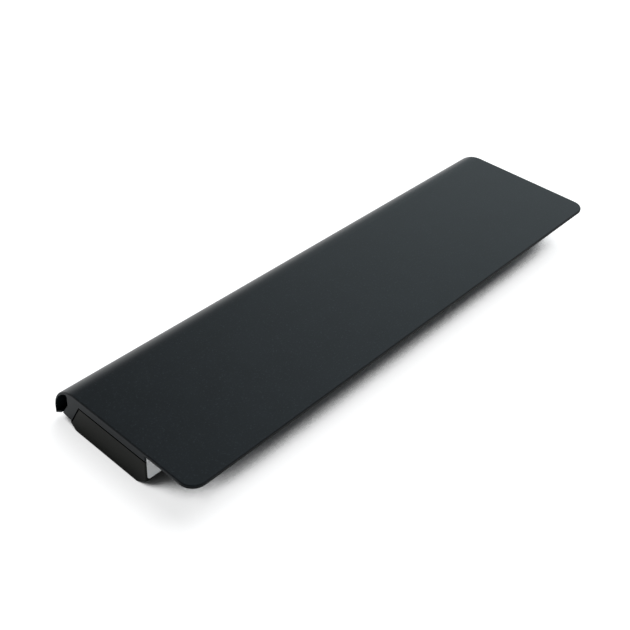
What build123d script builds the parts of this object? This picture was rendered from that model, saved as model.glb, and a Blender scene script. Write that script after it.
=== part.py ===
# Laptop battery: a flat cover with a rolled rear lip, over a tray of cylindrical cells.
# Millimetres. X runs along the pack, Y from the free front edge to the rolled rear edge, Z up.
# The origin is on the floor, under the middle of the pack's box.
import os

from build123d import *

# Cells: sealed cans, two rows across
cell_diameter = 18.3
cell_length = 65.0
cells_along = 4
row_gap = 0.4
button_diameter = 8.4
button_height = 0.7

# Nickel strips that join the cells
strip_thickness = 0.15
strip_width = 7.0
leaf_gap = 0.2
strip_reach = 5.0
tab_length = 6.0
bend_radius = 0.5
fold_fill = 0.9

# Case walls and the play left round the cells
wall = 1.1
end_wall = 1.4
cell_play = 0.1
side_play = 0.15
foam_thickness = 4.1
foam_margin = 1.5

# Cover: plate, rolled edge and rear skirt
plate_thickness = 1.6
corner_radius = 6.5
edge_radius = 0.5
round_share = 0.45
overhang = 26.1
end_reveal = 0.6
lip_thickness = 1.2
lip_edge = 0.55
lip_straight = 2.9
lip_clear = 3.0
lip_tip_chamfer = 0.4
hem_rise = 2.6
hem_gap = 0.2
channel_width = 8.8
channel_mouth = 3.3
channel_corner_radius = 1.2
skirt_proud = 0.6
flare_drop = 9.1
flare_radius = 3.0
foot_height = 4.25
foot_rise = 0.75
foot_edge = 0.7
foot_edge_radius = 0.25
gusset_thickness = 1.0
gusset_reach = 9.0
gusset_drop = 3.2
gusset_spacing = 44.0
gusset_count = 4

# Tray: sloping long edges, end corners and inner ribs
front_slope_depth = 5.7
front_slope_height = 4.2
rear_chamfer = 2.8
bay_corner_radius = 0.7
slope_edge_radius = 1.2
cusp_height = 3.0
cusp_base = 6.0
cusp_top = 1.2
latch_offset = 88.0
latch_width = 10.0
latch_height = 5.0
latch_depth = 3.0
latch_wall = 1.0

# Seam between tray and cover, with a tongue behind it
seam_drop = 5.6
seam_step = 6.9
seam_gap = 0.45
tongue_thickness = 0.5
tongue_height = 1.6
lap_clearance = 0.1

# Board behind the front wall
board_bay = 6.65
board_thickness = 1.0
board_margin = 9.5
board_lift = 2.6
board_headroom = 2.8
sheet_thickness = 0.2
sheet_play = 0.1
sheet_border = 1.4
slot_play = 1.0
post_width = 3.0
post_lip = 1.1
post_grip = 1.5
post_inset = 8.0
post_spacing = 22.0

# Connector in the front wall
connector_offset = 20.0
connector_height = 8.0
connector_end = 1.3
contact_count = 8
contact_pitch = 3.2
contact_slot = 1.4
contact_height = 5.0
contact_thickness = 0.2
contact_setback = 0.8
connector_ear = 1.0
window_clearance = 0.15

# Parts on the board
part_spacing = 4.0
gauge_length = 7.8
gauge_body = 4.4
gauge_height = 1.1
gauge_leads = 7
transistor_length = 4.9
transistor_body = 3.9
transistor_height = 1.6
transistor_leads = 4
lead_reach = 0.9
lead_width = 0.3
lead_thickness = 0.2
lead_bury = 0.2
chip_draft = 8
cap_drop = 0.12
fuse_length = 9.5
fuse_width = 5.0
fuse_height = 2.1
fuse_cap = 1.6
resistor_length = 6.3
resistor_width = 3.1
resistor_height = 0.6
resistor_cap = 1.1
thermistor_length = 2.0
thermistor_width = 1.2
thermistor_height = 0.8
thermistor_cap = 0.4
thermistor_offset = 30.0

# Label on the front wall
label_length = 36.0
label_thickness = 0.12
label_gap_below = 1.0
label_gap_above = 1.4
label_corner_radius = 1.5

# Lengthwise: the stack of cells sets the pack's length
joint_gap = 2 * strip_thickness + leaf_gap
pitch = cell_length + joint_gap
stack_half = (cells_along * pitch - joint_gap) / 2
cavity_half = stack_half + strip_thickness + foam_thickness
bay_half = cavity_half + end_wall
plate_half = bay_half + end_reveal

# Upwards: the cells set the height
height = 2 * wall + cell_play + cell_diameter
axis_z = wall + (cell_play + cell_diameter) / 2
seam_z = height - seam_drop

# Across: front edge, bay, cells, rear wall, channel
cell_radius = cell_diameter / 2
bay_depth = 2 * wall + board_bay + 2 * cell_diameter + row_gap + side_play
width = overhang + bay_depth + channel_width
front_edge = -width / 2
lip_face = width / 2
bay_front = front_edge + overhang
bay_rear = lip_face - channel_width
cells_front = bay_front + wall + board_bay
row_pitch = cell_diameter + row_gap
row_y = [cells_front + cell_radius, cells_front + cell_radius + row_pitch]

# Roll: a quarter turn from the plate's top down to the straight lip, thinning on the way
roll_radius = height - lip_clear - lip_straight
roll_y = lip_face - roll_radius
roll_z = height - roll_radius
inner_radius = roll_radius - lip_edge
inner_z = height - lip_thickness - inner_radius

# Channel behind the lip: the skirt's face at its top, the foot's tip at its mouth
skirt_face = bay_rear + skirt_proud
foot_tip = lip_face - lip_thickness - channel_mouth

# Board bay, from the cells outwards: sheet, strip tails, board
sheet_rear = cells_front - sheet_play
sheet_front = sheet_rear - sheet_thickness
board_rear = sheet_front - sheet_play - strip_thickness
board_front = board_rear - board_thickness
outer_joint = (cells_along / 2 - 1) * pitch
board_half = outer_joint + board_margin
board_low = wall + board_lift
board_high = height - wall - board_headroom
connector_length = contact_count * contact_pitch + 2 * connector_end
connector_z = (front_slope_height + seam_z) / 2
connector_low_x = connector_offset - connector_length / 2
connector_high_x = connector_offset + connector_length / 2
sheet_half_height = strip_width / 2 + sheet_border

# How far a cut runs past what it cuts
past = 1.0


def block(x0, x1, y0, y1, z0, z1):
    """Box between two corners."""
    middle = Pos((x0 + x1) / 2, (y0 + y1) / 2, (z0 + z1) / 2)
    return middle * Box(x1 - x0, y1 - y0, z1 - z0)


def along_x(section, half_length):
    """A section in Y and Z, drawn out along X both ways from the middle."""
    return extrude(Plane.YZ * section, amount=half_length, both=True)


def bay_section(depth):
    """The cell bay's section, drawn in by a depth from its outer faces."""
    outline = Polyline(
        (bay_front + front_slope_depth, 0),
        (bay_rear - rear_chamfer, 0),
        (bay_rear, rear_chamfer),
        (bay_rear, foot_height),
        (foot_tip, foot_height + foot_rise),
        (foot_tip, foot_height + foot_rise + foot_edge),
        (skirt_face, height - flare_drop),
        (skirt_face, height),
        (bay_front, height),
        (bay_front, front_slope_height),
        close=True,
    )
    section = make_face(outline)
    if depth:
        return offset(section, amount=-depth, kind=Kind.INTERSECTION)
    low = section.vertices().filter_by(lambda v: v.Y < foot_height)
    section = fillet(low, slope_edge_radius)
    section = fillet(section.vertices().group_by(Axis.X)[-1], foot_edge_radius)
    flare = section.vertices().filter_by(lambda v: v.X > bay_rear and foot_height < v.Y < height)
    return fillet(flare.sort_by(Axis.Y)[-1], flare_radius)


def under_roll(inset):
    """Everything under the plate's top and inside the roll, drawn in by an inset."""
    top = height - inset
    reach = lip_face - inset
    outline = Polyline((roll_y, top), (front_edge, top), (front_edge, 0), (reach, 0), (reach, roll_z))
    roll = CenterArc((roll_y, roll_z), roll_radius - inset, 0, 90)
    return make_face([outline, roll])


def bay_solid(depth, end_depth):
    """The cell bay as a closed block, drawn in by a depth all round and another at its ends."""
    half = bay_half - end_depth
    body = along_x(bay_section(depth), half) & along_x(under_roll(depth), half)
    if depth:
        return body

    # one rounding runs down each front corner, along the floor's end and up to the foot
    return fillet(body.edges().filter_by(Axis.Y).group_by(Axis.Z)[0], bay_corner_radius)


def below_seam(shift):
    """All that lies under the seam, with the seam moved off along its own normal."""
    low_y = bay_rear - wall
    run = low_y - (bay_rear - seam_step)
    fall = seam_z - foot_height
    slope = (run**2 + fall**2) ** 0.5
    sideways = (slope - run) / fall * shift
    section = make_face(
        Polyline(
            (front_edge, -past),
            (lip_face, -past),
            (lip_face, foot_height + shift),
            (low_y + sideways, foot_height + shift),
            (bay_rear - seam_step + sideways, seam_z + shift),
            (front_edge, seam_z + shift),
            close=True,
        )
    )
    return along_x(section, plate_half + past)


def ahead_of_skirt(y):
    """All that lies in front of a plane across the pack."""
    return block(-plate_half, plate_half, front_edge, y, 0, height)


def tray():
    """The tub: outer walls up to the seam, a tongue behind the seam, ribs, posts and latch pockets."""
    outer = bay_solid(0, 0)
    cavity = bay_solid(wall, end_wall)
    tub = (outer - cavity) & below_seam(-seam_gap / 2)
    tongue_ring = bay_solid(wall - tongue_thickness, end_wall - tongue_thickness) - cavity
    rear_limit = bay_rear - wall
    tongue = tongue_ring & below_seam(tongue_height) & ahead_of_skirt(rear_limit)

    # behind the skirt's foot the tongue is an upright rib inside the rear wall
    rib_face = rear_limit - lap_clearance
    rib_top = foot_height + tongue_height
    rear_rib = block(-cavity_half, cavity_half, rib_face - tongue_thickness, rib_face, wall, rib_top)
    rib_root = block(-cavity_half, cavity_half, rib_face, rear_limit, wall, foot_height - seam_gap / 2)

    # the cusp stands in the valley between the two rows
    valley = (row_y[0] + row_y[1]) / 2
    cusp = make_face(
        Polyline(
            (valley - cusp_base / 2, wall / 2),
            (valley + cusp_base / 2, wall / 2),
            (valley + cusp_top / 2, wall + cusp_height),
            (valley - cusp_top / 2, wall + cusp_height),
            close=True,
        )
    )
    inside = rear_rib + rib_root + along_x(cusp, stack_half)

    # posts carry the board's lower edge and grip its front
    for side in (-1, 1):
        for step in (0, 1):
            x = side * (board_half - post_inset - step * post_spacing)
            low, high = x - post_width / 2, x + post_width / 2
            lip = board_front - lap_clearance
            inside += block(low, high, lip - post_lip, board_rear, wall / 2, board_low)
            inside += block(low, high, lip - post_lip, lip, wall / 2, board_low + post_grip)

    # pockets that the machine's latches enter, each with its own inner wall
    for side in (-1, 1):
        inside += latch_block(side, latch_wall, bay_front + wall / 2)
    tub = tub + tongue + (inside & outer)
    for side in (-1, 1):
        tub -= latch_block(side, 0, bay_front - past)

    half = connector_length / 2 + window_clearance
    rise = connector_height / 2 + window_clearance
    window = Pos(connector_offset, bay_front, connector_z) * Box(2 * half, 2 * (wall + past), 2 * rise)
    return tub - window


def latch_block(side, extra, y0):
    """The latch pocket's space, or the block round it."""
    x = side * latch_offset
    half = latch_width / 2 + extra
    rise = latch_height / 2 + extra
    depth = bay_front + latch_depth + extra
    return block(x - half, x + half, y0, depth, connector_z - rise, connector_z + rise)


def cover():
    """Plate, roll and lip in one skin, with the bay's upper walls and the rear skirt under it."""
    plate = block(-plate_half, plate_half, front_edge, roll_y, height - plate_thickness, height)
    plate = fillet(plate.edges().filter_by(Axis.Z).group_by(Axis.Y)[0], corner_radius)
    skin = plate + along_x(roll_section(), plate_half)
    rim = skin.faces().sort_by(Axis.Z)[-1].edges().filter_by(lambda e: e.center().Y < roll_y - edge_radius)
    skin = fillet(rim, min(edge_radius, round_share * lip_thickness, round_share * plate_thickness))

    walls = bay_solid(0, 0) - below_seam(seam_gap / 2)
    shell = skin + walls + along_x(channel_corner(), bay_half) - bay_solid(wall, end_wall)
    lap = tongue_thickness + lap_clearance
    recess = bay_solid(wall - lap, end_wall - lap) & below_seam(tongue_height + lap_clearance)
    shell -= recess & ahead_of_skirt(bay_rear - wall)

    # gussets brace the overhang against the front wall
    under = height - plate_thickness
    gusset = make_face(
        Polyline(
            (bay_front + wall / 2, under + plate_thickness / 2),
            (bay_front - gusset_reach, under + plate_thickness / 2),
            (bay_front - gusset_reach, under),
            (bay_front, under - gusset_drop),
            (bay_front + wall / 2, under - gusset_drop),
            close=True,
        )
    )
    brace = along_x(gusset, gusset_thickness / 2)
    for i in range(gusset_count):
        shell += Pos((i - (gusset_count - 1) / 2) * gusset_spacing, 0, 0) * brace
    return shell


def roll_section():
    """Section of the rolled edge, its straight lip and the hem, turned in and up towards the foot's tip."""
    outer_arc = CenterArc((roll_y, roll_z), roll_radius, 0, 90)
    inner_arc = CenterArc((roll_y, inner_z), inner_radius, 0, 90)
    root = Line((roll_y, height), (roll_y, height - lip_thickness))
    inner_face = lip_face - lip_edge
    start = lip_face - lip_tip_chamfer
    end = foot_tip + hem_gap
    run = start - end
    lift = lip_edge * (run**2 + hem_rise**2) ** 0.5 / run
    high = lip_clear + hem_rise
    lip = Polyline(
        (lip_face, roll_z),
        (lip_face, lip_clear + lip_tip_chamfer),
        (start, lip_clear),
        (end, high),
        (end, high + lift),
        (inner_face, lip_clear + lift + (start - inner_face) * hem_rise / run),
        (inner_face, inner_z),
    )
    return make_face([outer_arc, root, inner_arc, lip])


def channel_corner():
    """Section of the rounding between the skirt and the roll, in the channel's top corner."""
    middle = inner_radius + lip_edge / 2
    y = skirt_face + channel_corner_radius
    z = inner_z + ((inner_radius - channel_corner_radius) ** 2 - (y - roll_y) ** 2) ** 0.5
    reach = middle / (inner_radius - channel_corner_radius)
    inside = skirt_face - wall / 2
    corner = make_face(
        Polyline(
            (inside, z),
            (y, z),
            (roll_y + (y - roll_y) * reach, inner_z + (z - inner_z) * reach),
            (inside, inner_z + (middle**2 - (inside - roll_y) ** 2) ** 0.5),
            close=True,
        )
    )
    return corner - Pos(y, z) * Circle(channel_corner_radius)


def cell():
    """One sealed can along X, with its middle at the origin and its button towards +X."""
    shoulder = cell_length / 2 - button_height
    section = make_face(
        Polyline(
            (-cell_length / 2, 0),
            (-cell_length / 2, cell_radius),
            (shoulder, cell_radius),
            (shoulder, button_diameter / 2),
            (cell_length / 2, button_diameter / 2),
            (cell_length / 2, 0),
            close=True,
        )
    )
    return revolve(section, Axis.X)


def strip_along(points, radii):
    """A nickel strip on edge, following a plan route with rounded bends."""
    route = FilletPolyline(*[(x, y, axis_z) for x, y in points], radius=radii)
    start = Plane(origin=route @ 0, x_dir=(0, 0, 1), z_dir=route % 0)
    return sweep(start * Rectangle(strip_width, strip_thickness), path=route)


def series_strip(x):
    """Folded strip between two pairs of cells, with its tab on the board, turned to the board's middle."""
    inwards = -1 if x > 0 else 1
    leaf = inwards * (leaf_gap + strip_thickness) / 2
    fold = fold_fill * abs(leaf)
    rear = row_y[1] + strip_reach
    board_line = board_rear + strip_thickness / 2
    route = [
        (x - leaf, row_y[0] - strip_reach),
        (x - leaf, rear),
        (x + leaf, rear),
        (x + leaf, board_line),
        (x + leaf + inwards * tab_length, board_line),
    ]
    return strip_along(route, [fold, fold, bend_radius])


def end_strip(side):
    """Strip across the stack's end, with a tail that runs back to the board."""
    x = side * (stack_half + strip_thickness / 2)
    board_line = board_rear + strip_thickness / 2
    route = [
        (x, row_y[1] + strip_reach),
        (x, board_line),
        (side * (board_half - tab_length), board_line),
    ]
    return strip_along(route, [bend_radius])


def insulation_sheet():
    """Card between cells and board, slotted where the strips' tabs pass."""
    low, high = axis_z - sheet_half_height, axis_z + sheet_half_height
    half = stack_half - bend_radius - strip_thickness
    sheet = block(-half, half, sheet_front, sheet_rear, low, high)
    rise = strip_width / 2 + sheet_border / 2
    reach = joint_gap / 2 + slot_play
    slot = block(-reach, reach, sheet_front - past, sheet_rear + past, axis_z - rise, axis_z + rise)
    for x in joints_x():
        sheet -= Pos(x, 0, 0) * slot
    return sheet


def foam_pad(side):
    """Pad between the stack's end strip and the end wall."""
    middle = side * (stack_half + strip_thickness + foam_thickness / 2)
    depth = row_y[1] - row_y[0] + cell_diameter - 2 * foam_margin
    rise = cell_diameter - 2 * foam_margin
    return Pos(middle, (row_y[0] + row_y[1]) / 2, axis_z) * Box(foam_thickness, depth, rise)


def protection_board():
    """Upright board that spans the strips' tabs."""
    return block(-board_half, board_half, board_front, board_rear, board_low, board_high)


def on_board(x, body):
    """Stands a part on the board's front: its own Z becomes the way out from the board."""
    return Plane(origin=(x, board_front, connector_z), x_dir=(1, 0, 0), z_dir=(0, -1, 0)) * body


def leaded_chip(length, body, rise, leads):
    """Moulded chip with a row of bent leads along each long side."""
    stand = lead_thickness
    top = Pos(0, 0, stand) * extrude(Rectangle(length, body), amount=rise - stand, taper=chip_draft)
    step = length / leads
    shank = rise / 2
    for i in range(leads):
        x = (i - (leads - 1) / 2) * step
        for side in (-1, 1):
            foot = Pos(x, side * (body / 2 + lead_reach / 2), lead_thickness / 2)
            top += foot * Box(lead_width, lead_reach, lead_thickness)
            leg = Pos(x, side * (body + lead_thickness - lead_bury) / 2, shank / 2)
            top += leg * Box(lead_width, lead_thickness + lead_bury, shank)
    return top


def capped_block(length, body, rise, cap):
    """Chip part with a raised middle and a metal cap at each end."""
    low = extrude(Rectangle(length, body), amount=rise - cap_drop)
    middle = extrude(Rectangle(length - 2 * cap, body), amount=rise)
    return low + middle


def thermistor():
    """Chip sensor on the board's rear face, towards the cells, above the sheet."""
    z = axis_z + sheet_half_height + sheet_play + thermistor_width / 2
    chip = capped_block(thermistor_length, thermistor_width, thermistor_height, thermistor_cap)
    return Plane(origin=(-thermistor_offset, board_rear, z), x_dir=(1, 0, 0), z_dir=(0, 1, 0)) * chip


def contact_x(i):
    """Place of a contact along the connector."""
    return connector_offset + (i - (contact_count - 1) / 2) * contact_pitch


def connector_housing():
    """Block in the wall's window, with an ear at each end behind the wall and a slot for each contact."""
    half, rise = connector_length / 2, connector_height / 2
    x, z = connector_offset, connector_z
    body = block(x - half, x + half, bay_front, board_front, z - rise, z + rise)
    wide = half + connector_ear
    behind = bay_front + wall + lap_clearance
    body += block(x - wide, x + wide, behind, behind + connector_ear, z - rise, z + rise)
    slot = contact_slot / 2
    high = contact_height / 2
    for i in range(contact_count):
        c = contact_x(i)
        body -= block(c - slot, c + slot, bay_front - past, board_front + past, z - high, z + high)
    return body


def connector_contact(i):
    """Fork of two leaves lining its slot, standing on the board."""
    c = contact_x(i)
    half, high = contact_slot / 2, contact_height / 2
    mouth = bay_front + contact_setback
    low, top = connector_z - high, connector_z + high
    inner = half - contact_thickness
    root = board_front - contact_thickness
    fork = block(c - half, c + half, mouth, board_front, low, top)
    return fork - block(c - inner, c + inner, mouth - past, root, low - past, top + past)


def label():
    """Bare film on the front wall, over the seam, near the end on the left."""
    start = -bay_half + bay_corner_radius
    low = front_slope_height + label_gap_below
    high = height - plate_thickness - label_gap_above
    face = RectangleRounded(label_length, high - low, label_corner_radius)
    film = extrude(face, amount=label_thickness)
    place = Plane(
        origin=(start + label_length / 2, bay_front, (low + high) / 2),
        x_dir=(1, 0, 0),
        z_dir=(0, -1, 0),
    )
    return place * film


def joints_x():
    """Places along X where one pair of cells meets the next."""
    return [(j - cells_along / 2) * pitch for j in range(1, cells_along)]


def cells():
    """Every cell, by column and row."""
    pieces = {}
    number = 0
    for column in range(cells_along):
        x = (column - (cells_along - 1) / 2) * pitch
        for y in row_y:
            number += 1
            pieces[f"cell_{number}"] = Pos(x, y, axis_z) * cell()
    return pieces


def board_parts():
    """Parts in a row on the board's front, to the left and right of the connector."""
    pieces = {}
    x = connector_low_x - connector_ear
    transistor = leaded_chip(transistor_length, transistor_body, transistor_height, transistor_leads)
    for name in ("discharge_transistor", "charge_transistor"):
        x -= part_spacing + transistor_length / 2
        pieces[name] = on_board(x, transistor)
        x -= transistor_length / 2
    x -= part_spacing + fuse_length / 2
    pieces["safety_fuse"] = on_board(x, capped_block(fuse_length, fuse_width, fuse_height, fuse_cap))
    x = connector_high_x + connector_ear + part_spacing + gauge_length / 2
    pieces["gauge_chip"] = on_board(x, leaded_chip(gauge_length, gauge_body, gauge_height, gauge_leads))
    x += gauge_length / 2 + part_spacing + resistor_length / 2
    resistor = capped_block(resistor_length, resistor_width, resistor_height, resistor_cap)
    pieces["sense_resistor"] = on_board(x, resistor)
    pieces["thermistor"] = thermistor()
    return pieces


def build():
    """Every piece by its node name."""
    pieces = {"cover": cover(), "tray": tray(), "label": label()}
    pieces.update(cells())
    for number, x in enumerate(joints_x(), 1):
        pieces[f"series_strip_{number}"] = series_strip(x)
    pieces["positive_strip"] = end_strip(1)
    pieces["negative_strip"] = end_strip(-1)
    pieces["insulation_sheet"] = insulation_sheet()
    pieces["foam_pad_left"] = foam_pad(-1)
    pieces["foam_pad_right"] = foam_pad(1)
    pieces["protection_board"] = protection_board()
    pieces.update(board_parts())
    pieces["connector_housing"] = connector_housing()
    for i in range(contact_count):
        pieces[f"connector_contact_{i + 1}"] = connector_contact(i)
    return pieces


os.makedirs("parts", exist_ok=True)
for name, piece in build().items():
    export_step(piece, f"parts/{name}.step")
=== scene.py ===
# Laptop battery: finishes, floor, light and camera around the fixed frame.
# Metres. X runs along the pack, Y from the free front edge to the rolled rear edge, Z up.
import math
from collections import Counter

import bpy
from mathutils import Matrix, Vector


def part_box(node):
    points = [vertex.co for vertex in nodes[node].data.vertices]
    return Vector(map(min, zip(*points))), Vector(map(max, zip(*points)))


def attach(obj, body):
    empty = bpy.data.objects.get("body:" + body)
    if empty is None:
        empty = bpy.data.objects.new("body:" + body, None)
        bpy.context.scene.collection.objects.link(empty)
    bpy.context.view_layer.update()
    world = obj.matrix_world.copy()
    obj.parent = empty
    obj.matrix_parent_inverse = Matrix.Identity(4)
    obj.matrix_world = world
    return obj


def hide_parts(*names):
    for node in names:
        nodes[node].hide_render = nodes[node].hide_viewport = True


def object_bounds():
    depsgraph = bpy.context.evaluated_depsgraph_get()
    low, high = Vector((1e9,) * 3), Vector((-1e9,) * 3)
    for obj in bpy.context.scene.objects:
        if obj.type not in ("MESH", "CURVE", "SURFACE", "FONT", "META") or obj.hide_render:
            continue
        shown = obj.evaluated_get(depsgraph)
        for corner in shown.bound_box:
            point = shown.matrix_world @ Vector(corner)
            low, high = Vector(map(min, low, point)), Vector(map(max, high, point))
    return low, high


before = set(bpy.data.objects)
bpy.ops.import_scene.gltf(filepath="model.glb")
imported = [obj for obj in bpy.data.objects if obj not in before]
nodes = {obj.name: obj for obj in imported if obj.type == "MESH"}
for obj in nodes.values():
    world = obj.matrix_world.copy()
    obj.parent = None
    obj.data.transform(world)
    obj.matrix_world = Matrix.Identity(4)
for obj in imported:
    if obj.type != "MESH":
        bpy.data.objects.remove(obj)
cad_low, cad_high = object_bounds()

MM = 0.001
ALONG, UP = 0, 2

# Camera: where it stands, how it is turned, and its lens on a 36 mm sensor
CAMERA_AT = (-288.30 * MM, -213.24 * MM, 283.95 * MM)
CAMERA_YAW = math.radians(39.27)
CAMERA_PITCH = math.radians(38.53)
CAMERA_ROLL = math.radians(4.49)
CAMERA_LENS = 55.88
CAMERA_SENSOR = 36.0
CAMERA_NEAR = 10 * MM

# Floor: grey paper, lifted to white where an occlusion node finds open sky, so that its shadow is partly real
# and partly painted, and with a painted shadow darkening the paper where the pack all but touches it. Each
# pair gives the shares of open sky between which a shade fades; in reflections it fades further out, a painted
# shade in what the walls reflect.
FLOOR_SIZE = 12.0
FLOOR_COLOUR = "#bcbcbc"
FLOOR_LIFT = 0.72
SHADE_REACH = 60 * MM
SHADE_SEEN = (0.30, 0.41)
SHADE_REFLECTED = (0.42, 0.80)
PAINTED_SHADOW_COLOUR = "#585858"
PAINTED_SHADOW_SHARES = (0.10, 0.36)

# Light: a broad lamp overhead, and a surround that is brightest at the far right.
# Each tone of the sky stands beside its height, from the horizon at 0 to overhead at 1. SKY_TURN gives the
# cosines of the turn from the bright side, from where the sky is all aside to where it is all ahead.
KEY_STRENGTH = 2.4
KEY_ANGLE = math.radians(60)
KEY_TILT = math.radians(28)
KEY_YAW = math.radians(5)
SKY_YAW = math.radians(14)
SKY_STRENGTH = 1.5
SKY_TURN = (0.64, 0.97)
SKY_AHEAD = [
    (0.00, "#a0acb2"),
    (0.28, "#a0acb2"),
    (0.44, "#f0ffff"),
    (0.56, "#deedf6"),
    (0.80, "#d0dee7"),
    (0.90, "#adb7bf"),
    (1.00, "#70797f"),
]
SKY_ASIDE = [
    (0.00, "#f0f4f6"),
    (0.20, "#d9dddf"),
    (0.35, "#989b9d"),
    (0.45, "#636567"),
    (0.60, "#4c4e50"),
    (1.00, "#4c4e50"),
]

# Mouldings: a sharp edge would show no highlight. Beside a rounding there is room for this many of its width.
MOULD_EDGE = 0.15 * MM
FINE_EDGE = 0.06 * MM
EDGE_SEGMENTS = 3
EDGE_ROOM = 2
SMOOTH_ANGLE = math.radians(35)
FLAT_ANGLE = math.radians(0.5)
MERGE = 0.001 * MM

# A face looks along an axis where its normal's share of that axis is over this
FACING = 0.5

# Cover and tray: below the plate are plain walls, and the lips of the seam are painted near-black, a painted
# shade for the dark of the joint
PLATE_THICKNESS = 1.6 * MM
SEAM_HEIGHT = 15.0 * MM
SEAM_FALL = 10.75 * MM
SEAM_STEP = (24.75 * MM, 30.35 * MM)
SEAM_REACH = 0.8 * MM
SEAM_FACING = 0.2

# Foam pads: rounded by the knife, and bulged where nothing holds them
PAD_ROUND = 0.9 * MM
PAD_SEGMENTS = 4
PAD_CUTS = 3
PAD_BULGE = 0.5 * MM

# Cells: the sleeve's rim turned over each end, and the steel button
SLEEVE_RIM = 1.2 * MM
BUTTON_RADIUS = 4.25 * MM
WELD_OFFSET = 1.6 * MM
WELD_RADIUS = 0.55 * MM

# Metal that shows beyond the body of a board part
LEAD_REACH = 0.9 * MM
FUSE_CAP = 1.6 * MM
RESISTOR_CAP = 1.1 * MM
THERMISTOR_CAP = 0.4 * MM

# Patterns: how far apart the marks on each surface lie, and how deep they are
CLOUDS = 12 * MM
SHOW_PITS = 0.6 * MM
PLAIN_PITS = 0.35 * MM
PIT_DEPTH = 0.02 * MM
PIT_SPREAD = 0.06
GLINT_PITS = (0.58, 0.72)
LABEL_BANDS = 1.5 * MM
BAND_DEPTH = 0.02 * MM
SLEEVE_PULLS = 1.2 * MM
PULL_DEPTH = 0.05 * MM
WASHER_FIBRES = 0.4 * MM
NICKEL_LINES = 0.35 * MM
LINE_DEPTH = 0.03 * MM
CARD_FIBRES = 0.25 * MM
FIBRE_DEPTH = 0.04 * MM
FOAM_CUPS = 0.7 * MM
CUP_DEPTH = 0.3 * MM
COPPER_LENGTH = 19 * MM
COPPER_PITCH = 0.8 * MM
COPPER_GAP = 0.16 * MM
COPPER_DEPTH = 0.035 * MM
GLASS_LAYERS = 0.12 * MM
NYLON_FLOW = 0.3 * MM
FLOW_DEPTH = 0.02 * MM
WIPE_MARKS = 0.15 * MM
TIN_GRAIN = 0.15 * MM
TIN_DEPTH = 0.01 * MM


def linear(hex_colour):
    """A colour written as sRGB hex, as the linear values that a shader takes."""
    parts = [int(hex_colour[i : i + 2], 16) / 255 for i in (1, 3, 5)]
    return [c / 12.92 if c <= 0.04045 else ((c + 0.055) / 1.055) ** 2.4 for c in parts] + [1.0]


def middle_of(node):
    """Middle of a node's box."""
    low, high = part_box(node)
    return (low + high) / 2


def add(tree, kind, inputs=None, **settings):
    """Adds a node with its settings and gives its outputs; an input is a value or another node's output."""
    made = tree.nodes.new(kind)
    for key, value in settings.items():
        setattr(made, key, value)
    for key, value in (inputs or {}).items():
        if isinstance(value, bpy.types.NodeSocket):
            tree.links.new(value, made.inputs[key])
        else:
            made.inputs[key].default_value = value
    return made.outputs


def new_material(name, **shader_values):
    """A node material with its shader's plain values set: its tree, its coordinates and its shader."""
    material = bpy.data.materials.new(name)
    material.use_nodes = True
    tree = material.node_tree
    tree.nodes.clear()
    coordinates = add(tree, "ShaderNodeTexCoord")
    values = {key.replace("_", " "): value for key, value in shader_values.items()}
    shader = add(tree, "ShaderNodeBsdfPrincipled", values)["BSDF"]
    add(tree, "ShaderNodeOutputMaterial", {"Surface": shader})
    return material, tree, coordinates, shader.node


def wire(tree, shader, **outputs):
    """Links outputs to the shader's inputs of the same name."""
    for key, output in outputs.items():
        tree.links.new(output, shader.inputs[key.replace("_", " ")])


def streaks(tree, place, spacing, stretch):
    """Noise drawn out along an axis, as rolling, wiping or melt flow leaves it."""
    scale = [1 / spacing / factor for factor in stretch]
    drawn = add(tree, "ShaderNodeMapping", {"Vector": place, "Scale": scale})["Vector"]
    return add(tree, "ShaderNodeTexNoise", {"Vector": drawn, "Scale": 1.0, "Detail": 3.0})["Fac"]


def beyond(tree, place, axis, centre, reach):
    """Mask that is 1 further than a reach from a plane across an axis."""
    along = add(tree, "ShaderNodeSeparateXYZ", {"Vector": place})[axis]
    away = add(tree, "ShaderNodeMath", {0: along, 1: centre}, operation="SUBTRACT")[0]
    away = add(tree, "ShaderNodeMath", {0: away}, operation="ABSOLUTE")[0]
    return add(tree, "ShaderNodeMath", {0: away, 1: reach}, operation="GREATER_THAN")[0]


def vary_surface(tree, shader, pattern, colours, roughness, relief, depth):
    """Lets one pattern vary a surface's colour, its roughness and its relief together."""
    colour = add(
        tree,
        "ShaderNodeMix",
        {"Factor": pattern, 6: linear(colours[0]), 7: linear(colours[1])},
        data_type="RGBA",
    )[2]
    spread = add(
        tree,
        "ShaderNodeMapRange",
        {"Value": pattern, "To Min": roughness[0], "To Max": roughness[1]},
    )["Result"]
    bump = add(
        tree,
        "ShaderNodeBump",
        {"Height": pattern, "Strength": relief, "Distance": depth},
    )["Normal"]
    wire(tree, shader, Base_Color=colour, Roughness=spread, Normal=bump)


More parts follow.
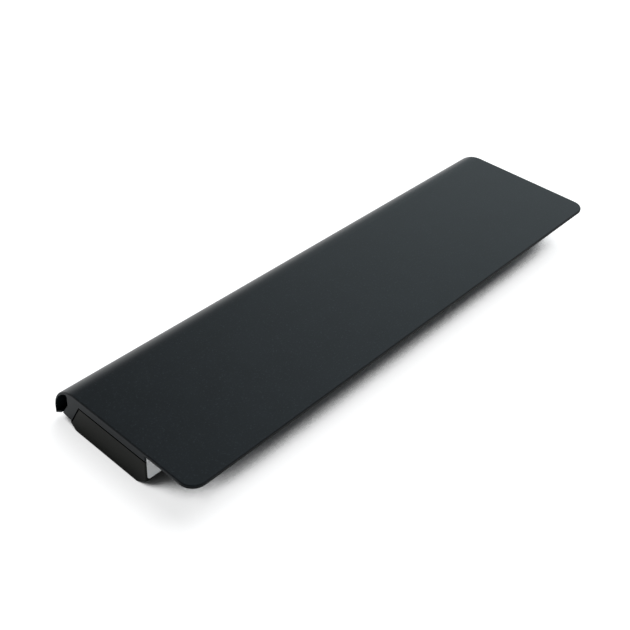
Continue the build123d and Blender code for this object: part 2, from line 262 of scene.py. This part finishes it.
def moulded_plastic(name, dark, light, painted_glint, roughness, gloss, pit_size):
    """Black ABS from a spark-eroded mould: fine pits spread the light and shade each other, so that it
    reflects less than bare plastic, and paler specks are painted on the spots between them as glints where
    they would catch the light. The real pits are too fine to show, so they are drawn coarser, and low."""
    material, tree, coordinates, shader = new_material(name, Specular_IOR_Level=gloss)
    place = coordinates["Object"]
    cloud = add(
        tree,
        "ShaderNodeTexNoise",
        {"Vector": place, "Scale": 1 / CLOUDS, "Detail": 3.0},
    )["Fac"]
    pits = add(
        tree,
        "ShaderNodeTexNoise",
        {"Vector": place, "Scale": 1 / pit_size, "Detail": 2.0},
    )["Fac"]
    colour = add(
        tree,
        "ShaderNodeMix",
        {"Factor": cloud, 6: linear(dark), 7: linear(light)},
        data_type="RGBA",
    )[2]
    # painted highlight: paler specks where the high spots would catch the light
    painted_glints = add(
        tree,
        "ShaderNodeMapRange",
        {"Value": pits, "From Min": GLINT_PITS[0], "From Max": GLINT_PITS[1]},
    )["Result"]
    colour = add(
        tree,
        "ShaderNodeMix",
        {"Factor": painted_glints, 6: colour, 7: linear(painted_glint)},
        data_type="RGBA",
    )[2]
    spread = add(
        tree,
        "ShaderNodeMapRange",
        {"Value": pits, "To Min": roughness - PIT_SPREAD, "To Max": roughness + PIT_SPREAD},
    )["Result"]
    bump = add(
        tree,
        "ShaderNodeBump",
        {"Height": pits, "Strength": 0.4, "Distance": PIT_DEPTH},
    )["Normal"]
    wire(tree, shader, Base_Color=colour, Roughness=spread, Normal=bump)
    return material


def label_film():
    """Matt white polyester film, laid by a roller: faint bands along its length, and a soft even white."""
    material, tree, coordinates, shader = new_material("white_polyester_film", Specular_IOR_Level=0.5)
    bands = streaks(tree, coordinates["Object"], LABEL_BANDS, (8, 1, 1))
    vary_surface(tree, shader, bands, ("#f4f4f3", "#fafaf9"), (0.44, 0.50), 0.08, BAND_DEPTH)
    return material


def cell_sleeve(name, y, z):
    """Shrunk PVC sleeve over a drawn steel can: a glossy side with faint pulls along it, its rim turned over
    the bare steel base, and a paper washer round the steel button."""
    material, tree, coordinates, shader = new_material(name)
    place = coordinates["Object"]
    pulls = streaks(tree, place, SLEEVE_PULLS, (10, 1, 1))
    sleeve = add(
        tree,
        "ShaderNodeMix",
        {"Factor": pulls, 6: linear("#256a5b"), 7: linear("#2f7d6a")},
        data_type="RGBA",
    )[2]
    fibres = add(
        tree,
        "ShaderNodeTexNoise",
        {"Vector": place, "Scale": 1 / WASHER_FIBRES, "Detail": 3.0},
    )["Fac"]
    paper = add(
        tree,
        "ShaderNodeMix",
        {"Factor": fibres, 6: linear("#cfcfc6"), 7: linear("#e2e2da")},
        data_type="RGBA",
    )[2]

    # how far from the cell's axis, and which way the face looks
    centred = add(tree, "ShaderNodeVectorMath", {0: place, 1: (0, y, z)}, operation="SUBTRACT")[0]
    across = add(tree, "ShaderNodeVectorMath", {0: centred, 1: (0, 1, 1)}, operation="MULTIPLY")[0]
    radius = add(tree, "ShaderNodeVectorMath", {0: across}, operation="LENGTH")["Value"]
    facing = add(tree, "ShaderNodeSeparateXYZ", {"Vector": coordinates["Normal"]})["X"]
    low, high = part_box("cell_1")
    rim = (high.z - low.z) / 2 - SLEEVE_RIM
    inside = add(tree, "ShaderNodeMath", {0: radius, 1: rim}, operation="LESS_THAN")[0]
    button = add(tree, "ShaderNodeMath", {0: radius, 1: BUTTON_RADIUS}, operation="LESS_THAN")[0]
    top = add(tree, "ShaderNodeMath", {0: facing, 1: FACING}, operation="GREATER_THAN")[0]
    washer = add(tree, "ShaderNodeMath", {0: inside, 1: top}, operation="MULTIPLY")[0]
    base = add(tree, "ShaderNodeMath", {0: facing, 1: -FACING}, operation="LESS_THAN")[0]
    base = add(tree, "ShaderNodeMath", {0: inside, 1: base}, operation="MULTIPLY")[0]
    steel = add(tree, "ShaderNodeMath", {0: base, 1: button}, operation="MAXIMUM")[0]
    colour = add(tree, "ShaderNodeMix", {"Factor": washer, 6: sleeve, 7: paper}, data_type="RGBA")[2]
    colour = add(
        tree,
        "ShaderNodeMix",
        {"Factor": steel, 6: colour, 7: linear("#b9bcc0")},
        data_type="RGBA",
    )[2]
    dull = add(tree, "ShaderNodeMapRange", {"Value": washer, "To Min": 0.28, "To Max": 0.8})["Result"]
    bump = add(
        tree,
        "ShaderNodeBump",
        {"Height": pulls, "Strength": 0.25, "Distance": PULL_DEPTH},
    )["Normal"]
    wire(tree, shader, Base_Color=colour, Metallic=steel, Roughness=dull, Normal=bump)
    return material


def rolled_nickel(rows, z):
    """Rolled nickel strip: bright, with streaks along the strip and two dull weld spots over each cell."""
    material, tree, coordinates, shader = new_material("rolled_nickel", Metallic=1.0)
    place = coordinates["Object"]
    lines = streaks(tree, place, NICKEL_LINES, (20, 20, 1))
    steps = add(tree, "ShaderNodeSeparateXYZ", {"Vector": place})
    rise = add(tree, "ShaderNodeMath", {0: steps["Z"], 1: z}, operation="SUBTRACT")[0]
    rise = add(tree, "ShaderNodeMath", {0: rise}, operation="ABSOLUTE")[0]
    rise = add(tree, "ShaderNodeMath", {0: rise, 1: WELD_OFFSET}, operation="SUBTRACT")[0]
    middle = sum(rows) / 2
    side = add(tree, "ShaderNodeMath", {0: steps["Y"], 1: middle}, operation="SUBTRACT")[0]
    side = add(tree, "ShaderNodeMath", {0: side}, operation="ABSOLUTE")[0]
    side = add(tree, "ShaderNodeMath", {0: side, 1: rows[1] - middle}, operation="SUBTRACT")[0]
    offset = add(tree, "ShaderNodeCombineXYZ", {"X": rise, "Y": side})["Vector"]
    away = add(tree, "ShaderNodeVectorMath", {0: offset}, operation="LENGTH")["Value"]
    weld = add(tree, "ShaderNodeMath", {0: away, 1: WELD_RADIUS}, operation="LESS_THAN")[0]
    metal = add(
        tree,
        "ShaderNodeMix",
        {"Factor": lines, 6: linear("#b7b2a7"), 7: linear("#cfcabf")},
        data_type="RGBA",
    )[2]
    colour = add(
        tree,
        "ShaderNodeMix",
        {"Factor": weld, 6: metal, 7: linear("#7d776d")},
        data_type="RGBA",
    )[2]
    dull = add(tree, "ShaderNodeMapRange", {"Value": lines, "To Min": 0.2, "To Max": 0.42})["Result"]
    height = add(tree, "ShaderNodeMath", {0: lines, 1: weld}, operation="SUBTRACT")[0]
    bump = add(
        tree,
        "ShaderNodeBump",
        {"Height": height, "Strength": 0.3, "Distance": LINE_DEPTH},
    )["Normal"]
    wire(tree, shader, Base_Color=colour, Roughness=dull, Normal=bump)
    return material


def fish_paper():
    """Pressed fibre card: dull grey-green, with short fibres lying along the sheet."""
    material, tree, coordinates, shader = new_material("vulcanised_fibre", Specular_IOR_Level=0.2)
    fibres = streaks(tree, coordinates["Object"], CARD_FIBRES, (6, 1, 2))
    vary_surface(tree, shader, fibres, ("#9fa08c", "#c4c4b0"), (0.7, 0.9), 0.4, FIBRE_DEPTH)
    return material


def closed_cell_foam():
    """Die-cut black foam: its cut cells are small cups in relief, their hollows darkened by painted shade,
    drawn about twice their real size.
    """
    material, tree, coordinates, shader = new_material("closed_cell_foam", Specular_IOR_Level=0.15)
    cups = add(
        tree,
        "ShaderNodeTexVoronoi",
        {"Vector": coordinates["Object"], "Scale": 1 / FOAM_CUPS},
    )["Distance"]
    # painted shade: the cups' hollows are coloured darker, as well as set low by the bump
    vary_surface(tree, shader, cups, ("#111112", "#2c2c2e"), (0.98, 0.8), 0.8, CUP_DEPTH)
    return material


def board_laminate():
    """Glass laminate under green solder mask: copper runs show as paler lines in relief, and the cut edges
    are bare laminate, straw-coloured with its glass layers in lines."""
    material, tree, coordinates, shader = new_material("solder_masked_laminate", Specular_IOR_Level=0.5)
    place = coordinates["Object"]
    upright = add(tree, "ShaderNodeMapping", {"Vector": place, "Rotation": (math.pi / 2, 0, 0)})["Vector"]
    runs = add(
        tree,
        "ShaderNodeTexBrick",
        {
            "Vector": upright,
            "Scale": 1.0,
            "Mortar Size": COPPER_GAP,
            "Mortar Smooth": 0.3,
            "Brick Width": COPPER_LENGTH,
            "Row Height": COPPER_PITCH,
            "Color1": linear("#15603a"),
            "Color2": linear("#1a6b41"),
            "Mortar": linear("#0f4a2a"),
        },
    )
    layers = streaks(tree, place, GLASS_LAYERS, (60, 1, 60))
    edge = add(
        tree,
        "ShaderNodeMix",
        {"Factor": layers, 6: linear("#8a8050"), 7: linear("#b5ab78")},
        data_type="RGBA",
    )[2]
    facing = add(tree, "ShaderNodeSeparateXYZ", {"Vector": coordinates["Normal"]})["Y"]
    facing = add(tree, "ShaderNodeMath", {0: facing}, operation="ABSOLUTE")[0]
    masked = add(tree, "ShaderNodeMath", {0: facing, 1: FACING}, operation="GREATER_THAN")[0]
    colour = add(
        tree,
        "ShaderNodeMix",
        {"Factor": masked, 6: edge, 7: runs["Color"]},
        data_type="RGBA",
    )[2]
    spread = add(tree, "ShaderNodeMapRange", {"Value": masked, "To Min": 0.75, "To Max": 0.3})["Result"]
    bump = add(
        tree,
        "ShaderNodeBump",
        {"Height": runs["Fac"], "Strength": 0.4, "Distance": COPPER_DEPTH},
        invert=True,
    )["Normal"]
    wire(tree, shader, Base_Color=colour, Roughness=spread, Normal=bump)
    return material


def filled_nylon():
    """Glass-filled nylon: black, with pale flow streaks of fibre along the moulding and a rough skin."""
    material, tree, coordinates, shader = new_material("glass_filled_nylon", Specular_IOR_Level=0.35)
    flow = streaks(tree, coordinates["Object"], NYLON_FLOW, (8, 2, 1))
    vary_surface(tree, shader, flow, ("#0c0c0d", "#1c1c1d"), (0.4, 0.6), 0.3, FLOW_DEPTH)
    return material


def plated_brass():
    """Gold-plated brass leaf: warm and bright, with wipe marks along the way that the blade enters."""
    material, tree, coordinates, shader = new_material("plated_brass", Metallic=1.0)
    wipes = streaks(tree, coordinates["Object"], WIPE_MARKS, (1, 12, 1))
    colour = add(
        tree,
        "ShaderNodeMix",
        {"Factor": wipes, 6: linear("#c99a3e"), 7: linear("#e3c070")},
        data_type="RGBA",
    )[2]
    spread = add(tree, "ShaderNodeMapRange", {"Value": wipes, "To Min": 0.16, "To Max": 0.34})["Result"]
    wire(tree, shader, Base_Color=colour, Roughness=spread)
    return material


def tinned_part(name, node, axis, metal_reach, dark, light, roughness):
    """A board part whose body ends in tinned metal: a dull speckled body, and bright ends a little frosted."""
    material, tree, coordinates, shader = new_material(name, Specular_IOR_Level=0.4)
    place = coordinates["Object"]
    low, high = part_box(node)
    middle = (low[axis] + high[axis]) / 2
    metal = beyond(tree, place, axis, middle, (high[axis] - low[axis]) / 2 - metal_reach)
    grains = add(
        tree,
        "ShaderNodeTexNoise",
        {"Vector": place, "Scale": 1 / TIN_GRAIN, "Detail": 2.0},
    )["Fac"]
    body = add(
        tree,
        "ShaderNodeMix",
        {"Factor": grains, 6: linear(dark), 7: linear(light)},
        data_type="RGBA",
    )[2]
    tin = add(
        tree,
        "ShaderNodeMix",
        {"Factor": grains, 6: linear("#b4b7ba"), 7: linear("#d2d4d6")},
        data_type="RGBA",
    )[2]
    colour = add(tree, "ShaderNodeMix", {"Factor": metal, 6: body, 7: tin}, data_type="RGBA")[2]
    spread = add(tree, "ShaderNodeMapRange", {"Value": metal, "To Min": roughness, "To Max": 0.28})["Result"]
    bump = add(
        tree,
        "ShaderNodeBump",
        {"Height": grains, "Strength": 0.3, "Distance": TIN_DEPTH},
    )["Normal"]
    wire(tree, shader, Base_Color=colour, Metallic=metal, Roughness=spread, Normal=bump)
    return material


def dress(piece, *materials):
    """Gives a piece its materials in place of those it came with."""
    piece.data.materials.clear()
    for material in materials:
        piece.data.materials.append(material)


def mark_roundings(mesh, width):
    """Marks the sharp edges that have room for a rounding: none on a tight curve or beside a short edge."""
    bpy.ops.object.mode_set(mode="EDIT")
    bpy.ops.mesh.select_mode(type="EDGE")
    bpy.ops.mesh.select_all(action="DESELECT")
    bpy.ops.mesh.edges_select_sharp(sharpness=SMOOTH_ANGLE)
    bpy.ops.object.mode_set(mode="OBJECT")
    sharp_ends = Counter(end for edge in mesh.edges if edge.select for end in edge.vertices)
    lengths = [math.dist(*(mesh.vertices[end].co for end in edge.vertices)) for edge in mesh.edges]

    # the room at a corner is the shortest edge there that a rounding would cut across
    room = [math.inf] * len(mesh.vertices)
    for edge, length in zip(mesh.edges, lengths):
        for end in edge.vertices:
            if not edge.select or sharp_ends[end] > 2:
                room[end] = min(room[end], length)
    weights = mesh.attributes.new("bevel_weight_edge", "FLOAT", "EDGE")
    for edge, length, weight in zip(mesh.edges, lengths, weights.data):
        beside = min(room[end] for end in edge.vertices)
        weight.value = edge.select and length > width / 2 and beside > EDGE_ROOM * width


def moulded_copy(node, name, edge):
    """A copy of a solid with its facets joined, its flat faces whole and its edges rounded a little."""
    bpy.ops.object.select_all(action="DESELECT")
    piece = bpy.data.objects.new(name, nodes[node].data.copy())
    bpy.context.scene.collection.objects.link(piece)
    bpy.context.view_layer.objects.active = piece
    piece.select_set(True)
    bpy.ops.mesh.customdata_custom_splitnormals_clear()
    bpy.ops.object.mode_set(mode="EDIT")
    bpy.ops.mesh.select_all(action="SELECT")
    bpy.ops.mesh.remove_doubles(threshold=MERGE)
    bpy.ops.mesh.dissolve_limited(angle_limit=FLAT_ANGLE)
    bpy.ops.object.mode_set(mode="OBJECT")
    mark_roundings(piece.data, edge)
    bevel = piece.modifiers.new("edges", "BEVEL")
    bevel.width = edge
    bevel.segments = EDGE_SEGMENTS
    bevel.limit_method = "WEIGHT"
    bevel.use_clamp_overlap = False
    bpy.ops.object.modifier_apply(modifier=bevel.name)
    bpy.ops.object.shade_smooth_by_angle(angle=SMOOTH_ANGLE)
    weighted = piece.modifiers.new("flat faces stay flat", "WEIGHTED_NORMAL")
    weighted.keep_sharp = True
    bpy.ops.object.modifier_apply(modifier=weighted.name)
    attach(piece, "root")
    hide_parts(node)
    return piece


def above_seam(place):
    """How far a place is above the seam, which runs level and then steps down at the rear."""
    step = (place.y - SEAM_STEP[0]) / (SEAM_STEP[1] - SEAM_STEP[0])
    return place.z - SEAM_HEIGHT + SEAM_FALL * min(max(step, 0), 1)


def cover_finishes(piece, skin, rim, walls, seam_shade):
    """The plate's top and its roll have the show finish, its rim is dull, and the walls below are plain,
    but for their lip at the seam, which is painted near-black, a painted shade for the dark of the joint."""
    dress(piece, skin, rim, walls, seam_shade)
    underside = cad_high.z - PLATE_THICKNESS - MERGE
    for face in piece.data.polygons:
        if face.normal.z > FACING or face.normal.y > FACING:
            face.material_index = 0
        elif face.center.z > underside:
            face.material_index = 1
        elif face.normal.z < -SEAM_FACING and abs(above_seam(face.center)) < SEAM_REACH:
            face.material_index = 3
        else:
            face.material_index = 2


def tray_finishes(piece, walls, seam_shade):
    """The tray's walls are plain; the land at the seam and the tongue above are painted near-black, a painted
    shade for the dark of the joint.
    """
    dress(piece, walls, seam_shade)
    for face in piece.data.polygons:
        rise = above_seam(face.center)
        land = face.normal.z > SEAM_FACING and rise > -SEAM_REACH
        face.material_index = int(land or rise > 0)


def foam_pad(node):
    """A die-cut pad: a block with rounded edges, whose free sides bulge between strip and wall."""
    low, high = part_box(node)
    middle = (low + high) / 2
    bpy.ops.object.select_all(action="DESELECT")
    bpy.ops.mesh.primitive_cube_add(size=1.0, location=middle)
    pad = bpy.context.object
    pad.name = node + "_cut"
    pad.scale = high - low - Vector((0, 2 * PAD_BULGE, 2 * PAD_BULGE))
    bpy.ops.object.transform_apply(location=True, rotation=True, scale=True)
    bpy.ops.object.mode_set(mode="EDIT")
    bpy.ops.mesh.select_all(action="SELECT")
    bpy.ops.mesh.bevel(offset=PAD_ROUND, segments=PAD_SEGMENTS, affect="EDGES")
    bpy.ops.mesh.select_all(action="SELECT")
    bpy.ops.mesh.subdivide(number_cuts=PAD_CUTS)
    bpy.ops.object.mode_set(mode="OBJECT")
    half = (high - low) / 2
    for vertex in pad.data.vertices:
        away = vertex.co - middle
        swell = math.cos(away.x / half.x * math.pi / 2) * PAD_BULGE
        vertex.co.y += swell * away.y / half.y
        vertex.co.z += swell * away.z / half.z
    bpy.ops.object.shade_smooth_by_angle(angle=SMOOTH_ANGLE)
    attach(pad, "root")
    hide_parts(node)
    return pad


def floor():
    """White floor with the pack's shadow partly real and partly painted: what an occlusion node finds shaded
    is left unlifted, and a painted shadow darkens the paper where the pack all but touches it."""
    bpy.ops.object.select_all(action="DESELECT")
    bpy.ops.mesh.primitive_plane_add(size=FLOOR_SIZE)
    plane = bpy.context.object
    plane.name = "floor"
    material = bpy.data.materials.new("white_paper_painted_shadow")
    material.use_nodes = True
    tree = material.node_tree
    tree.nodes.clear()
    # Painted shadow: this occlusion node, not the lamps, shapes the floor's shadow near the pack
    open_sky = add(tree, "ShaderNodeAmbientOcclusion", {"Distance": SHADE_REACH})["AO"]
    clear = add(
        tree,
        "ShaderNodeMapRange",
        {"Value": open_sky, "From Min": PAINTED_SHADOW_SHARES[0], "From Max": PAINTED_SHADOW_SHARES[1]},
        interpolation_type="SMOOTHSTEP",
    )["Result"]
    colour = add(
        tree,
        "ShaderNodeMix",
        {"Factor": clear, 6: linear(PAINTED_SHADOW_COLOUR), 7: linear(FLOOR_COLOUR)},
        data_type="RGBA",
    )[2]
    surface = add(tree, "ShaderNodeBsdfDiffuse", {"Color": colour})["BSDF"]
    ray = add(tree, "ShaderNodeLightPath")
    for kind, (dark, light) in (
        ("Is Camera Ray", SHADE_SEEN),
        ("Is Glossy Ray", SHADE_REFLECTED),
        ("Is Transmission Ray", SHADE_SEEN),
    ):
        unshaded = add(
            tree,
            "ShaderNodeMapRange",
            {"Value": open_sky, "From Min": dark, "From Max": light, "To Max": FLOOR_LIFT},
            interpolation_type="SMOOTHSTEP",
        )["Result"]
        lift = add(tree, "ShaderNodeMath", {0: unshaded, 1: ray[kind]}, operation="MULTIPLY")[0]
        glow = add(tree, "ShaderNodeEmission", {"Strength": lift})["Emission"]
        surface = add(tree, "ShaderNodeAddShader", {0: surface, 1: glow})["Shader"]
    add(tree, "ShaderNodeOutputMaterial", {"Surface": surface})
    dress(plane, material)


def sky():
    """Studio surround: brightest ahead at the far right, dimmer overhead and to the sides."""
    world = bpy.data.worlds.new("studio")
    bpy.context.scene.world = world
    world.use_nodes = True
    tree = world.node_tree
    tree.nodes.clear()
    way = add(tree, "ShaderNodeTexCoord")["Generated"]
    height = add(tree, "ShaderNodeSeparateXYZ", {"Vector": way})["Z"]
    colours = []
    for stops in (SKY_ASIDE, SKY_AHEAD):
        colour = add(tree, "ShaderNodeValToRGB", {"Fac": height})["Color"]
        elements = colour.node.color_ramp.elements
        while len(elements) < len(stops):
            elements.new(1.0)
        for element, (stop, tone) in zip(elements, stops):
            element.position = stop
            element.color = linear(tone)
        colours.append(colour)
    level = add(tree, "ShaderNodeVectorMath", {0: way, 1: (1, 1, 0)}, operation="MULTIPLY")["Vector"]
    level = add(tree, "ShaderNodeVectorMath", {0: level}, operation="NORMALIZE")["Vector"]
    towards = (math.cos(SKY_YAW), math.sin(SKY_YAW), 0)
    ahead = add(tree, "ShaderNodeVectorMath", {0: level, 1: towards}, operation="DOT_PRODUCT")["Value"]
    share = add(
        tree,
        "ShaderNodeMapRange",
        {"Value": ahead, "From Min": SKY_TURN[0], "From Max": SKY_TURN[1]},
        interpolation_type="SMOOTHSTEP",
    )["Result"]
    colour = add(
        tree,
        "ShaderNodeMix",
        {"Factor": share, 6: colours[0], 7: colours[1]},
        data_type="RGBA",
    )[2]
    light = add(tree, "ShaderNodeBackground", {"Color": colour, "Strength": SKY_STRENGTH})["Background"]
    add(tree, "ShaderNodeOutputWorld", {"Surface": light})


def key_lamp():
    """Large soft light overhead, leaning from the far end."""
    lamp = bpy.data.lights.new("overhead", "SUN")
    lamp.energy = KEY_STRENGTH
    lamp.angle = KEY_ANGLE
    holder = bpy.data.objects.new("overhead", lamp)
    holder.rotation_euler = (-KEY_TILT * math.sin(KEY_YAW), KEY_TILT * math.cos(KEY_YAW), 0)
    holder.visible_glossy = False
    bpy.context.scene.collection.objects.link(holder)


def camera():
    """Camera at the photograph's place, with its small roll."""
    data = bpy.data.cameras.new("camera")
    data.lens = CAMERA_LENS
    data.sensor_width = CAMERA_SENSOR
    data.clip_start = CAMERA_NEAR
    holder = bpy.data.objects.new("camera", data)
    level = math.cos(CAMERA_PITCH)
    ahead = Vector((math.cos(CAMERA_YAW) * level, math.sin(CAMERA_YAW) * level, -math.sin(CAMERA_PITCH)))
    flat = Vector((math.sin(CAMERA_YAW), -math.cos(CAMERA_YAW), 0))
    upright = flat.cross(ahead)
    right = math.cos(CAMERA_ROLL) * flat + math.sin(CAMERA_ROLL) * upright
    up = -math.sin(CAMERA_ROLL) * flat + math.cos(CAMERA_ROLL) * upright
    turned = Matrix((right, up, -ahead)).transposed().to_4x4()
    holder.matrix_world = Matrix.Translation(CAMERA_AT) @ turned
    bpy.context.scene.collection.objects.link(holder)
    bpy.context.scene.camera = holder


camera()
sky()
key_lamp()
floor()

# Case
# Painted shade: a near-black, glossless plastic on the seam's lips, land and tongue, so that the joint shows
# as a dark line
painted_seam_shade = moulded_plastic("painted_seam_shade_abs", "#020202", "#040404", "#060606", 0.90, 0.0, PLAIN_PITS)
cover = moulded_copy("cover", "cover_moulding", MOULD_EDGE)
cover_finishes(
    cover,
    moulded_plastic("satin_black_abs", "#0a0d0f", "#111518", "#1f2427", 0.36, 0.22, SHOW_PITS),
    moulded_plastic("dull_black_abs", "#121416", "#151719", "#1b1e20", 0.50, 0.05, PLAIN_PITS),
    moulded_plastic("plain_black_abs", "#101619", "#13191c", "#1a2023", 0.50, 0.11, PLAIN_PITS),
    painted_seam_shade,
)
tray = moulded_copy("tray", "tray_moulding", MOULD_EDGE)
tray_finishes(
    tray,
    moulded_plastic("matt_black_abs", "#131411", "#161714", "#1d1e1a", 0.55, 0.09, PLAIN_PITS),
    painted_seam_shade,
)
dress(nodes["label"], label_film())

# Cells, strips, card and pads
front_row, rear_row = middle_of("cell_1"), middle_of("cell_2")
sleeves = [cell_sleeve("shrunk_pvc_front", *front_row.yz), cell_sleeve("shrunk_pvc_rear", *rear_row.yz)]
nickel = rolled_nickel((front_row.y, rear_row.y), front_row.z)
for name, node in nodes.items():
    if name.startswith("cell_"):
        dress(node, sleeves[int(middle_of(name).y > (front_row.y + rear_row.y) / 2)])
    if "_strip" in name:
        dress(node, nickel)
dress(nodes["insulation_sheet"], fish_paper())
foam = closed_cell_foam()
for name in ("foam_pad_left", "foam_pad_right"):
    dress(foam_pad(name), foam)

# Board, its parts and the connector
dress(nodes["protection_board"], board_laminate())
for name in ("gauge_chip", "charge_transistor", "discharge_transistor"):
    epoxy = tinned_part("moulded_epoxy_" + name, name, UP, LEAD_REACH, "#121213", "#1c1c1e", 0.55)
    dress(nodes[name], epoxy)
for name, cap, dark, light, roughness in (
    ("safety_fuse", FUSE_CAP, "#cdc9bd", "#dedacf", 0.35),
    ("sense_resistor", RESISTOR_CAP, "#161618", "#232326", 0.45),
    ("thermistor", THERMISTOR_CAP, "#433d39", "#57504b", 0.6),
):
    dress(nodes[name], tinned_part("ceramic_" + name, name, ALONG, cap, dark, light, roughness))
housing = moulded_copy("connector_housing", "connector_moulding", FINE_EDGE)
dress(housing, filled_nylon())
brass = plated_brass()
for name, node in nodes.items():
    if name.startswith("connector_contact_"):
        dress(node, brass)

bpy.context.scene.view_settings.view_transform = "Standard"
